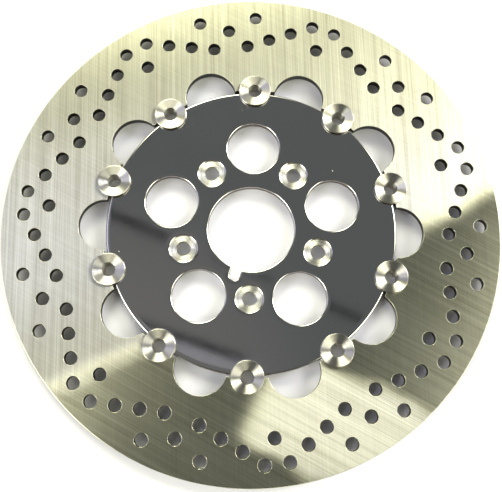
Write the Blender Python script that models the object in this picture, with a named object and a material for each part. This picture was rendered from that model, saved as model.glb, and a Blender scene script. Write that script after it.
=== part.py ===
"""Floating front brake disc for a motorcycle.

A ground stainless brake ring floats on ten turned buttons around a polished carrier. Behind each
button's flange, its shank carries a wave spring, a flat washer and a circlip. The disc lies face up:
+Z is the bore's axis and leaves the front face, z = 0 is the plane that the buttons' ends rest on,
and one button is on +Y.
"""

import math

import bmesh
import bpy
from mathutils import Matrix

# Driving dimensions, in metres. Angles are in degrees, counterclockwise from +X.
CLEARANCE = 0.0003

RING_OUTER_RADIUS = 0.146
RING_INNER_RADIUS = 0.0866
RING_THICKNESS = 0.005

CARRIER_OUTER_RADIUS = 0.0852
CARRIER_THICKNESS = 0.0045
CARRIER_FRONT_CHAMFER = 0.0012
CARRIER_BACK_CHAMFER = 0.0004
BORE_RADIUS = 0.0254

BUTTON_COUNT = 10
BUTTON_CIRCLE_RADIUS = 0.086
FIRST_BUTTON_ANGLE = 90.0
FLANGE_RADIUS = 0.0096
FLANGE_THICKNESS = 0.0013
FLANGE_CHAMFER = 0.0003
SHANK_RADIUS = 0.007
BUTTON_HOLE_RADIUS = 0.004
DISH_DEPTH = 0.0009
NOTCH_RADIUS = SHANK_RADIUS + CLEARANCE

GROOVE_LOW = 0.0006
GROOVE_HIGH = 0.002
GROOVE_RADIUS = 0.0063
CIRCLIP_THICKNESS = 0.0008
CIRCLIP_INNER_RADIUS = GROOVE_RADIUS + CLEARANCE
CIRCLIP_BACK_RADIUS = 0.0084
CIRCLIP_TIP_RADIUS = 0.0078
CIRCLIP_EAR_RADIUS = 0.0091
CIRCLIP_GAP_HALF_ANGLE = 14.0
CIRCLIP_EAR_ANGLE = 16.0

WASHER_THICKNESS = 0.001
WASHER_INNER_RADIUS = SHANK_RADIUS + CLEARANCE
WASHER_OUTER_RADIUS = 0.0095

SPRING_INNER_RADIUS = 0.0074
SPRING_OUTER_RADIUS = 0.0093
SPRING_THICKNESS = 0.00035
SPRING_HEIGHT = 0.0011
SPRING_WAVES = 3

WINDOW_RADIUS = 0.0151
WINDOW_CIRCLE_RADIUS = 0.086

BOLT_COUNT = 5
BOLT_CIRCLE_RADIUS = 0.041275
FIRST_BOLT_ANGLE = 270.0
BOLT_HOLE_RADIUS = 0.0041
BOLT_SEAT_RADIUS = 0.0078
BOLT_SEAT_DEPTH = 0.0008

LIGHTENING_CIRCLE_RADIUS = 0.0498
LIGHTENING_RADIUS = 0.0155
FIRST_LIGHTENING_ANGLE = 90.0

RELIEF_ANGLE = 252.0
RELIEF_END_CENTRE_RADIUS = 0.029
RELIEF_HALF_WIDTH = 0.0031

DRILL_RADIUS = 0.0039
DRILL_GROUPS = 7
FIRST_GROUP_ANGLE = 72.0

# Drilled holes of half a group, as (circle radius, angle from the group's middle line). A group is
# two sloping rows that meet at a peak, with single holes inside the peak and between the groups.
DRILL_PAIRS = (
    (0.1338, 3.03),
    (0.1265, 8.33),
    (0.1205, 14.19),
    (0.1158, 20.61),
    (0.1345, 180.0 / DRILL_GROUPS - 7.39),
)
DRILL_SINGLES = (
    (0.1198, 0.0),
    (0.1266, 180.0 / DRILL_GROUPS),
)

# Heights, from the buttons' ends up.
CIRCLIP_LOW = GROOVE_LOW + CLEARANCE
WASHER_LOW = CIRCLIP_LOW + CIRCLIP_THICKNESS + CLEARANCE
SPRING_LOW = WASHER_LOW + WASHER_THICKNESS + CLEARANCE
PLATE_BACK = SPRING_LOW + SPRING_HEIGHT + CLEARANCE
RING_FRONT = PLATE_BACK + RING_THICKNESS
CARRIER_FRONT = PLATE_BACK + CARRIER_THICKNESS
FLANGE_LOW = RING_FRONT + CLEARANCE
BUTTON_TOP = FLANGE_LOW + FLANGE_THICKNESS

# Numbers of sides.
RING_SIDES = 96
CARRIER_SIDES = 96
WINDOW_SIDES = 32
LIGHTENING_SIDES = 32
NOTCH_SIDES = 24
DRILL_SIDES = 10
BOLT_SIDES = 16
BOLT_SEAT_SIDES = 24
BUTTON_SIDES = 18
WASHER_SIDES = 16
SPRING_SIDES = 18
CIRCLIP_STEPS = 10
RELIEF_STEPS = 6

CUT_MARGIN = 0.002
SEAM_ANGLE = 1.1  # keeps the plates' facets clear of the cutters' corners
SHARP_ANGLE = math.radians(30.0)


def clear_scene():
    """Remove every object of the scene."""
    for obj in list(bpy.data.objects):
        bpy.data.objects.remove(obj, do_unlink=True)


def polar(radius, degrees):
    """Give the point at this radius and angle around the bore's axis."""
    angle = math.radians(degrees)
    return radius * math.cos(angle), radius * math.sin(angle)


def around(radius, count, first_angle):
    """Give evenly spaced points on a circle around the bore's axis."""
    return [polar(radius, first_angle + 360.0 * k / count) for k in range(count)]


def drill_places():
    """Give the centres of the ring's drilled holes."""
    places = []
    for group in range(DRILL_GROUPS):
        middle = FIRST_GROUP_ANGLE + 360.0 * group / DRILL_GROUPS
        for radius, offset in DRILL_PAIRS:
            places.append(polar(radius, middle - offset))
            places.append(polar(radius, middle + offset))
        for radius, offset in DRILL_SINGLES:
            places.append(polar(radius, middle + offset))
    return places


def metal(name, colour, roughness, metallic=1.0):
    """Make a Principled material for one sub-part."""
    material = bpy.data.materials.new(name)
    material.use_nodes = True
    shader = material.node_tree.nodes["Principled BSDF"]
    shader.inputs["Base Color"].default_value = (*colour, 1.0)
    shader.inputs["Roughness"].default_value = roughness
    shader.inputs["Metallic"].default_value = metallic
    material.diffuse_color = (*colour, 1.0)
    return material


def mesh_from(name, bm):
    """Turn a closed bmesh into a mesh whose faces point outwards."""
    bmesh.ops.recalc_face_normals(bm, faces=bm.faces)
    mesh = bpy.data.meshes.new(name)
    bm.to_mesh(mesh)
    bm.free()
    return mesh


def turned(name, profile, sides, seam=0.0):
    """Spin a closed profile of (radius, height) points around Z, from the seam's angle on."""
    bm = bmesh.new()
    points = [bm.verts.new((*polar(radius, seam), height)) for radius, height in profile]
    edges = [bm.edges.new((points[k - 1], points[k])) for k in range(len(points))]
    bmesh.ops.spin(
        bm,
        geom=points + edges,
        cent=(0.0, 0.0, 0.0),
        axis=(0.0, 0.0, 1.0),
        angle=2.0 * math.pi,
        steps=sides,
        use_merge=True,
    )
    return mesh_from(name, bm)


def plate(name, outline, low, high):
    """Extrude a closed outline of (x, y) points from one height to another."""
    bm = bmesh.new()
    face = bm.faces.new([bm.verts.new((x, y, low)) for x, y in outline])
    raised = bmesh.ops.extrude_face_region(bm, geom=[face])["geom"]
    top = [item for item in raised if isinstance(item, bmesh.types.BMVert)]
    bmesh.ops.translate(bm, verts=top, vec=(0.0, 0.0, high - low))
    return mesh_from(name, bm)


def drills(name, radius, places, sides, low):
    """Make one cutter of upright cylinders that start at a height and run out of the front."""
    bm = bmesh.new()
    depth = RING_FRONT + CUT_MARGIN - low
    for x, y in places:
        bmesh.ops.create_cone(
            bm,
            cap_ends=True,
            segments=sides,
            radius1=radius,
            radius2=radius,
            depth=depth,
            matrix=Matrix.Translation((x, y, low + depth / 2.0)),
        )
    return mesh_from(name, bm)


def place(name, mesh, material, parent=None):
    """Put a mesh in the scene as a named sub-part, at its parent's origin."""
    obj = bpy.data.objects.new(name, mesh)
    bpy.context.scene.collection.objects.link(obj)
    obj.parent = parent
    if material and not mesh.materials:
        mesh.materials.append(material)
    return obj


def cut(obj, cutter_mesh):
    """Subtract a cutter, which stays in the scene as a hidden wire guide."""
    cutter = place(cutter_mesh.name, cutter_mesh, None)
    cutter.hide_render = True
    cutter.display_type = "WIRE"
    modifier = obj.modifiers.new(cutter_mesh.name, "BOOLEAN")
    modifier.operation = "DIFFERENCE"
    modifier.solver = "EXACT"
    modifier.object = cutter


def bake_cuts(obj):
    """Replace an object's mesh by the result of its modifiers."""
    graph = bpy.context.evaluated_depsgraph_get()
    result = bpy.data.meshes.new_from_object(obj.evaluated_get(graph))
    for modifier in list(obj.modifiers):
        bpy.data.objects.remove(modifier.object, do_unlink=True)
    obj.modifiers.clear()
    obj.data = result


def shade_round(mesh):
    """Shade a mesh smooth and keep its corners crisp."""
    mesh.shade_smooth()
    mesh.set_sharp_from_angle(angle=SHARP_ANGLE)


def button_places():
    """Give the centres of the buttons."""
    return around(BUTTON_CIRCLE_RADIUS, BUTTON_COUNT, FIRST_BUTTON_ANGLE)


def build_brake_ring():
    """Build the ground outer ring, with its lugs, windows, half-round seats and drilled holes."""
    profile = (
        (RING_OUTER_RADIUS, RING_FRONT),
        (RING_OUTER_RADIUS, PLATE_BACK),
        (RING_INNER_RADIUS, PLATE_BACK),
        (RING_INNER_RADIUS, RING_FRONT),
    )
    ring_metal = metal("ground_stainless", (0.62, 0.60, 0.52), 0.28)
    ring = place("brake_ring", turned("brake_ring", profile, RING_SIDES, SEAM_ANGLE), ring_metal)
    below = PLATE_BACK - CUT_MARGIN
    first_window = FIRST_BUTTON_ANGLE + 180.0 / BUTTON_COUNT
    windows = around(WINDOW_CIRCLE_RADIUS, BUTTON_COUNT, first_window)
    cut(ring, drills("window_cutter", WINDOW_RADIUS, windows, WINDOW_SIDES, below))
    cut(ring, drills("ring_seat_cutter", NOTCH_RADIUS, button_places(), NOTCH_SIDES, below))
    cut(ring, drills("drill_cutter", DRILL_RADIUS, drill_places(), DRILL_SIDES, below))
    bake_cuts(ring)
    shade_round(ring.data)


def relief_outline():
    """Give the outline of the bore's relief slot, round at its outer end."""
    end_x, end_y = polar(RELIEF_END_CENTRE_RADIUS, RELIEF_ANGLE)
    outline = []
    for step in range(RELIEF_STEPS + 1):
        turn = RELIEF_ANGLE - 90.0 + 180.0 * step / RELIEF_STEPS
        x, y = polar(RELIEF_HALF_WIDTH, turn)
        outline.append((end_x + x, end_y + y))
    inner_x, inner_y = polar(BORE_RADIUS - CUT_MARGIN, RELIEF_ANGLE)
    for turn in (RELIEF_ANGLE + 90.0, RELIEF_ANGLE - 90.0):
        x, y = polar(RELIEF_HALF_WIDTH, turn)
        outline.append((inner_x + x, inner_y + y))
    return outline


def build_carrier():
    """Build the polished inner plate, with its bore, bolt holes and lightening holes."""
    profile = (
        (CARRIER_OUTER_RADIUS - CARRIER_FRONT_CHAMFER, CARRIER_FRONT),
        (CARRIER_OUTER_RADIUS, CARRIER_FRONT - CARRIER_FRONT_CHAMFER),
        (CARRIER_OUTER_RADIUS, PLATE_BACK + CARRIER_BACK_CHAMFER),
        (CARRIER_OUTER_RADIUS - CARRIER_BACK_CHAMFER, PLATE_BACK),
        (BORE_RADIUS, PLATE_BACK),
        (BORE_RADIUS, CARRIER_FRONT),
    )
    carrier_metal = metal("polished_carrier", (0.23, 0.23, 0.22), 0.08)
    carrier = place("carrier", turned("carrier", profile, CARRIER_SIDES, SEAM_ANGLE), carrier_metal)
    below = PLATE_BACK - CUT_MARGIN
    seat_floor = CARRIER_FRONT - BOLT_SEAT_DEPTH
    bolts = around(BOLT_CIRCLE_RADIUS, BOLT_COUNT, FIRST_BOLT_ANGLE)
    holes = around(LIGHTENING_CIRCLE_RADIUS, BOLT_COUNT, FIRST_LIGHTENING_ANGLE)
    cut(carrier, drills("carrier_seat_cutter", NOTCH_RADIUS, button_places(), NOTCH_SIDES, below))
    cut(carrier, drills("lightening_cutter", LIGHTENING_RADIUS, holes, LIGHTENING_SIDES, below))
    cut(carrier, drills("bolt_cutter", BOLT_HOLE_RADIUS, bolts, BOLT_SIDES, below))
    cut(carrier, drills("bolt_seat_cutter", BOLT_SEAT_RADIUS, bolts, BOLT_SEAT_SIDES, seat_floor))
    cut(carrier, plate("relief_cutter", relief_outline(), below, RING_FRONT + CUT_MARGIN))
    bake_cuts(carrier)
    shade_round(carrier.data)


def button_mesh():
    """Turn a button: a flange with a dished face, a shank and the groove for its circlip."""
    profile = (
        (FLANGE_RADIUS - FLANGE_CHAMFER, BUTTON_TOP),
        (FLANGE_RADIUS, BUTTON_TOP - FLANGE_CHAMFER),
        (FLANGE_RADIUS, FLANGE_LOW),
        (SHANK_RADIUS, FLANGE_LOW),
        (SHANK_RADIUS, GROOVE_HIGH),
        (GROOVE_RADIUS, GROOVE_HIGH),
        (GROOVE_RADIUS, GROOVE_LOW),
        (SHANK_RADIUS, GROOVE_LOW),
        (SHANK_RADIUS, 0.0),
        (BUTTON_HOLE_RADIUS, 0.0),
        (BUTTON_HOLE_RADIUS, BUTTON_TOP - DISH_DEPTH),
    )
    return turned("button", profile, BUTTON_SIDES)


def washer_mesh():
    """Turn the flat washer that the circlip holds."""
    high = WASHER_LOW + WASHER_THICKNESS
    profile = (
        (WASHER_OUTER_RADIUS, high),
        (WASHER_OUTER_RADIUS, WASHER_LOW),
        (WASHER_INNER_RADIUS, WASHER_LOW),
        (WASHER_INNER_RADIUS, high),
    )
    return turned("washer", profile, WASHER_SIDES)


def wave_spring_mesh():
    """Sweep a flat band around Z whose height follows a cosine of a few waves per turn."""
    bm = bmesh.new()
    middle = SPRING_LOW + SPRING_HEIGHT / 2.0
    swing = (SPRING_HEIGHT - SPRING_THICKNESS) / 2.0
    half = SPRING_THICKNESS / 2.0
    corners = (
        (SPRING_OUTER_RADIUS, half),
        (SPRING_OUTER_RADIUS, -half),
        (SPRING_INNER_RADIUS, -half),
        (SPRING_INNER_RADIUS, half),
    )
    sections = []
    for side in range(SPRING_SIDES):
        angle = 360.0 * side / SPRING_SIDES
        height = middle + swing * math.cos(math.radians(SPRING_WAVES * angle))
        sections.append(
            [bm.verts.new((*polar(radius, angle), height + rise)) for radius, rise in corners]
        )
    for side in range(SPRING_SIDES):
        here, previous = sections[side], sections[side - 1]
        for k in range(len(corners)):
            bm.faces.new((previous[k - 1], previous[k], here[k], here[k - 1]))
    return mesh_from("wave_spring", bm)


def circlip_mesh():
    """Extrude an open snap ring, widest at its back, with an ear at each end of its gap."""
    start = CIRCLIP_GAP_HALF_ANGLE
    sweep = 360.0 - 2.0 * start
    inner, outer = [], []
    for step in range(CIRCLIP_STEPS + 1):
        inner.append(polar(CIRCLIP_INNER_RADIUS, start + sweep * step / CIRCLIP_STEPS))
    first_band = start + CIRCLIP_EAR_ANGLE
    band_sweep = 360.0 - 2.0 * first_band
    outer += [polar(CIRCLIP_EAR_RADIUS, start), polar(CIRCLIP_EAR_RADIUS, first_band)]
    for step in range(CIRCLIP_STEPS + 1):
        share = math.sin(math.pi * step / CIRCLIP_STEPS)
        radius = CIRCLIP_TIP_RADIUS + share * (CIRCLIP_BACK_RADIUS - CIRCLIP_TIP_RADIUS)
        outer.append(polar(radius, first_band + band_sweep * step / CIRCLIP_STEPS))
    outer += [polar(CIRCLIP_EAR_RADIUS, 360.0 - first_band), polar(CIRCLIP_EAR_RADIUS, 360.0 - start)]
    outline = inner + outer[::-1]
    return plate("circlip", outline, CIRCLIP_LOW, CIRCLIP_LOW + CIRCLIP_THICKNESS)


def build_button_sets():
    """Build the buttons with what each one carries, on an empty that stands on the button's axis."""
    pieces = (
        ("button", button_mesh(), metal("turned_stainless", (0.72, 0.70, 0.66), 0.22)),
        ("wave_spring", wave_spring_mesh(), metal("spring_steel", (0.38, 0.35, 0.31), 0.35)),
        ("washer", washer_mesh(), metal("washer_steel", (0.60, 0.60, 0.60), 0.32)),
        ("circlip", circlip_mesh(), metal("blackened_steel", (0.07, 0.07, 0.075), 0.45)),
    )
    for name, mesh, material in pieces:
        shade_round(mesh)
    for number, (x, y) in enumerate(button_places(), start=1):
        axis = bpy.data.objects.new(f"button_axis_{number:02d}", None)
        bpy.context.scene.collection.objects.link(axis)
        axis.location = (x, y, 0.0)
        axis.rotation_euler.z = 2.0 * math.pi * (number - 1) / BUTTON_COUNT
        for name, mesh, material in pieces:
            place(f"{name}_{number:02d}", mesh, material, axis)


def build_disc():
    """Build every sub-part of the floating brake disc."""
    clear_scene()
    build_brake_ring()
    build_carrier()
    build_button_sets()
    bpy.context.view_layer.update()


build_disc()
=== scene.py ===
"""Finished look of a floating front brake disc.

A ground stainless ring floats on ten turned buttons around a mirror-polished carrier; each button
carries a wave spring, a flat washer and a circlip behind its flange. Lengths are in metres, in the
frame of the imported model: +Z is the bore's axis and leaves the front face, and the buttons' ends
rest on z = 0.
"""

import logging
from dataclasses import dataclass, field, replace
from enum import Enum

import bmesh
import bpy
import numpy as np
from mathutils import Matrix, Vector
from mathutils.geometry import delaunay_2d_cdt


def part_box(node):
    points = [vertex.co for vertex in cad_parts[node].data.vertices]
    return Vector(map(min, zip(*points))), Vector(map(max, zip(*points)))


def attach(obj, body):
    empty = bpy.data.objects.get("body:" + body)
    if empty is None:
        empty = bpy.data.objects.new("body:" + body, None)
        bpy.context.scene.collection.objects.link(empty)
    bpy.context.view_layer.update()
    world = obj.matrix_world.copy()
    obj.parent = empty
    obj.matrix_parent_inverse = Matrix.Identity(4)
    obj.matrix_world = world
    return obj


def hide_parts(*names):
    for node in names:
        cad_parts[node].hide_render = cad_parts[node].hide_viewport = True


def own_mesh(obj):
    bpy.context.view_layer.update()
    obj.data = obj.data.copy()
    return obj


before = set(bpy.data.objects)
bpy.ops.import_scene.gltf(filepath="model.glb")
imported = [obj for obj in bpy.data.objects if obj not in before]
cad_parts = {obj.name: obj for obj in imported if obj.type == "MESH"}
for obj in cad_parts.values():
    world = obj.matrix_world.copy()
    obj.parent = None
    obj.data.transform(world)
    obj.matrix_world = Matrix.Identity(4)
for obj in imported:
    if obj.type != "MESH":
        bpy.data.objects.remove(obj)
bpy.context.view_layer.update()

Array = np.ndarray
Colour = tuple[float, float, float]

log = logging.getLogger("brake_disc")

MILLIMETRE = 0.001
WELD_DISTANCE = 2e-6
ON_EDGE = 1e-7
CLEARANCE = 0.3 * MILLIMETRE
LEAST_LOOP_STEPS = 24
LOOP_SYMMETRY = 8
LEAST_STRAIGHT_STEPS = 3
ROW_MARGIN = 0.98
NOISE_MIDDLE = 0.5


class Slot(Enum):
    """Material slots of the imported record."""

    RING = "brake_ring"
    CARRIER = "carrier"
    BUTTON = "button"
    SPRING = "wave_spring"
    WASHER = "washer"
    CIRCLIP = "circlip"


class Side(Enum):
    """On which side of a round edge the plate's metal lies."""

    OUTSIDE = 1.0
    INSIDE = -1.0


# ---------------------------------------------------------------------------------------------
# Places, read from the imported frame
# ---------------------------------------------------------------------------------------------


@dataclass(frozen=True)
class Heights:
    """Heights of the faces that the pieces are built between, in metres above the buttons' ends."""

    plate_back: float
    ring_front: float
    carrier_front: float
    flange_low: float
    button_top: float
    groove_low: float
    groove_high: float

    @classmethod
    def from_frame(cls) -> "Heights":
        """Read the heights off the boxes of the CAD nodes.

        Returns:
            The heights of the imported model.
        """
        ring_low, ring_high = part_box("brake_ring")
        carrier_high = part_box("carrier")[1]
        clip_low, clip_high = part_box("circlip_01")
        button_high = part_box("button_01")[1]
        return cls(
            plate_back=ring_low[2],
            ring_front=ring_high[2],
            carrier_front=carrier_high[2],
            flange_low=ring_high[2] + CLEARANCE,
            button_top=button_high[2],
            groove_low=clip_low[2] - CLEARANCE,
            groove_high=clip_high[2] + CLEARANCE,
        )


def node_centre(node: str) -> Array:
    """Give the middle of a CAD node's box, in the row frame.

    Args:
        node: Name of the CAD node.

    Returns:
        The middle as an (x, y, z) array.
    """
    low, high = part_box(node)
    return (np.array(low) + np.array(high)) / 2.0


def polar(radius: Array | float, degrees: Array | float) -> Array:
    """Give points at these radii and angles around the bore's axis.

    Args:
        radius: Distance from the axis.
        degrees: Angle from +X, counterclockwise.

    Returns:
        Points whose last axis is (x, y): radius times the cosine and the sine of the angle.
    """
    angle = np.radians(degrees)
    return np.stack([radius * np.cos(angle), radius * np.sin(angle)], axis=-1)


def around(radius: float, count: int, first: float) -> Array:
    """Give evenly spaced points on a circle around the bore's axis.

    Args:
        radius: The circle's radius.
        count: How many points.
        first: Angle of the first one, in degrees.

    Returns:
        A (count, 2) array.
    """
    return polar(radius, first + 360.0 * np.arange(count) / count)


# ---------------------------------------------------------------------------------------------
# Surfaces
# ---------------------------------------------------------------------------------------------


@dataclass
class Shell:
    """Patches of a closed surface on their way to becoming one mesh.

    Attributes:
        points: Vertex places of each patch.
        normals: Unit normals at the same vertices.
        faces: Vertex numbers of each patch's faces, counted over the whole shell.
        slots: Material number of each face.
        sweeps: Place of each vertex from the axis of the cutter that faced it, in millimetres.
        count: How many vertices the shell has.
    """

    points: list[Array] = field(default_factory=list)
    normals: list[Array] = field(default_factory=list)
    faces: list[list[int]] = field(default_factory=list)
    slots: list[int] = field(default_factory=list)
    sweeps: list[Array] = field(default_factory=list)
    count: int = 0

    def add(
        self,
        points: Array,
        normals: Array,
        faces: Array,
        slot: int = 0,
        sweep: Array | None = None,
    ) -> None:
        """Add one patch.

        Args:
            points: (n, 3) vertex places.
            normals: (n, 3) unit normals.
            faces: Vertex numbers within the patch, one row for each face.
            slot: Material number of the patch.
            sweep: (n, 3) places seen from the cutter's axis, in millimetres.
        """
        self.sweeps.append(np.zeros_like(points) if sweep is None else sweep)
        self.points.append(points)
        self.normals.append(normals)
        self.faces.extend((faces + self.count).tolist())
        self.slots.extend([slot] * len(faces))
        self.count += len(points)

    def to_object(self, name: str, materials: list[bpy.types.Material]) -> bpy.types.Object:
        """Weld the patches along their seams and put the mesh in the scene.

        Args:
            name: Name of the piece.
            materials: One material for each material number.

        Returns:
            The piece, at the origin.
        """
        mesh = bpy.data.meshes.new(name)
        mesh.from_pydata(np.concatenate(self.points).tolist(), [], self.faces)
        mesh.polygons.foreach_set("material_index", self.slots)
        stored = mesh.attributes.new("lay_normal", "FLOAT_VECTOR", "POINT")
        stored.data.foreach_set("vector", np.concatenate(self.normals).ravel())
        swept = mesh.attributes.new("sweep", "FLOAT_VECTOR", "POINT")
        swept.data.foreach_set("vector", np.concatenate(self.sweeps).ravel())
        whole = bmesh.new()
        whole.from_mesh(mesh)
        bmesh.ops.remove_doubles(whole, verts=whole.verts, dist=WELD_DISTANCE)
        bmesh.ops.dissolve_degenerate(whole, edges=whole.edges, dist=ON_EDGE)
        whole.to_mesh(mesh)
        whole.free()
        apply_stored_normals(mesh)
        return piece_from(mesh, name, materials)


def apply_stored_normals(mesh: bpy.types.Mesh) -> None:
    """Shade a mesh smooth with the exact normals of its attribute, then drop the attribute.

    Args:
        mesh: The mesh, with a vector attribute named lay_normal on its vertices.
    """
    normals = np.empty(len(mesh.vertices) * 3, np.float32)
    mesh.attributes["lay_normal"].data.foreach_get("vector", normals)
    mesh.shade_smooth()
    mesh.normals_split_custom_set_from_vertices(normals.reshape(-1, 3).tolist())
    mesh.attributes.remove(mesh.attributes["lay_normal"])


def piece_from(
    mesh: bpy.types.Mesh, name: str, materials: list[bpy.types.Material]
) -> bpy.types.Object:
    """Link a mesh to the scene as a piece at the origin.

    Args:
        mesh: The finished mesh.
        name: Name of the piece.
        materials: Its materials, in slot order.

    Returns:
        The new object.
    """
    for material in materials:
        mesh.materials.append(material)
    piece = bpy.data.objects.new(name, mesh)
    bpy.context.scene.collection.objects.link(piece)
    return piece


def closed_grid(rows: int, columns: int) -> Array:
    """Give the quads of a grid that closes on itself both ways.

    Args:
        rows: Points along the profile.
        columns: Points around the axis.

    Returns:
        Vertex numbers, four for each quad: a point, the next along the profile, and the same two
        one step further round.
    """
    row, column = np.meshgrid(np.arange(rows), np.arange(columns), indexing="ij")
    next_row, next_column = (row + 1) % rows, (column + 1) % columns
    corners = (
        row * columns + column,
        next_row * columns + column,
        next_row * columns + next_column,
        row * columns + next_column,
    )
    return np.stack(corners, axis=-1).reshape(-1, 4)


@dataclass(frozen=True)
class Profile:
    """A closed turned section in (radius, height), running down its outer side.

    Attributes:
        corners: (n, 2) corner points.
        fillets: Rounding radius at each corner.
        steps: Points on each rounding, less one.
    """

    corners: Array
    fillets: Array
    steps: int = 4

    def points_and_normals(self) -> tuple[Array, Array]:
        """Round every corner.

        At a corner that turns by an angle, the arc starts the fillet radius times the tangent of
        half that angle before the corner. Its centre is one radius behind the surface at a convex
        corner, and in front of it at a concave one, and the normal turns evenly along the arc.

        Returns:
            The section's points and its outward unit normals, as (n, 2) arrays.
        """
        before = self.corners - np.roll(self.corners, 1, axis=0)
        before /= np.linalg.norm(before, axis=1)[:, None]
        after = np.roll(before, -1, axis=0)
        cross = before[:, 0] * after[:, 1] - before[:, 1] * after[:, 0]
        turn = np.arctan2(cross, (before * after).sum(axis=1))
        reach = self.fillets * np.tan(np.abs(turn) / 2.0)
        start = self.corners - before * reach[:, None]
        normal = np.stack([-before[:, 1], before[:, 0]], axis=1)
        bend = np.where(turn < 0.0, 1.0, -1.0) * self.fillets
        centre = start - normal * bend[:, None]
        share = np.linspace(0.0, 1.0, self.steps + 1)
        angle = np.arctan2(normal[:, 1], normal[:, 0])[:, None] + turn[:, None] * share
        normals = np.stack([np.cos(angle), np.sin(angle)], axis=-1)
        points = centre[:, None, :] + normals * bend[:, None, None]
        return points.reshape(-1, 2), normals.reshape(-1, 2)


def turned_piece(
    name: str,
    profile: Profile,
    axis: Array,
    material: bpy.types.Material,
    steps: int = 96,
    wave: float = 0.0,
    waves: int = 0,
) -> bpy.types.Object:
    """Turn a profile round an upright axis.

    The surface takes a point of the profile and an angle to (radius times cosine, radius times
    sine, height), and a waved piece adds the swing times the cosine of waves times the angle.

    Args:
        name: Name of the piece.
        profile: Its section.
        axis: (x, y) of the axis.
        material: Its finish.
        steps: Points around the axis.
        wave: Swing of a waved piece's height.
        waves: Waves in one turn.

    Returns:
        The piece, at the origin.
    """
    section, facing = profile.points_and_normals()
    turn = 2.0 * np.pi * np.arange(steps) / steps
    cosine, sine = np.cos(turn), np.sin(turn)
    radius, height = section[:, :1], section[:, 1:]
    lift = wave * np.cos(waves * turn)
    points = np.stack(
        [axis[0] + radius * cosine, axis[1] + radius * sine, height + lift], axis=-1
    )
    slope = -wave * waves * np.sin(waves * turn) / np.maximum(radius, MILLIMETRE)
    out, up = facing[:, :1], facing[:, 1:]
    normals = np.stack(
        [out * cosine + up * slope * sine, out * sine - up * slope * cosine, up + 0.0 * turn],
        axis=-1,
    )
    normals /= np.linalg.norm(normals, axis=-1)[..., None]
    mesh = bpy.data.meshes.new(name)
    faces = closed_grid(len(section), steps)
    mesh.from_pydata(points.reshape(-1, 3).tolist(), [], faces.tolist())
    run = np.linalg.norm(np.roll(section, -1, axis=0) - section, axis=1)
    length = np.concatenate([[0.0], np.cumsum(run)]) / MILLIMETRE
    row, column = np.divmod(np.arange(len(section) * steps), steps)
    around_uv = np.stack([column, column, column + 1, column + 1], axis=-1) / steps
    along_uv = np.stack([length[row], length[row + 1], length[row + 1], length[row]], axis=-1)
    lay = mesh.uv_layers.new(name="lay")
    lay.uv.foreach_set("vector", np.stack([around_uv, along_uv], axis=-1).ravel())
    mesh.shade_smooth()
    mesh.normals_split_custom_set_from_vertices(normals.reshape(-1, 3).tolist())
    return piece_from(mesh, name, [material])


@dataclass(frozen=True)
class Softening:
    """How a plate's face falls away towards one of its edges.

    Attributes:
        rounding: Radius of the quarter circle that ends in the wall.
        roll_depth: How far polishing has sunk the face at the edge.
        roll_width: Distance from the edge at which that sinking starts.
    """

    rounding: float
    roll_depth: float = 0.0
    roll_width: float = MILLIMETRE


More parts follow.
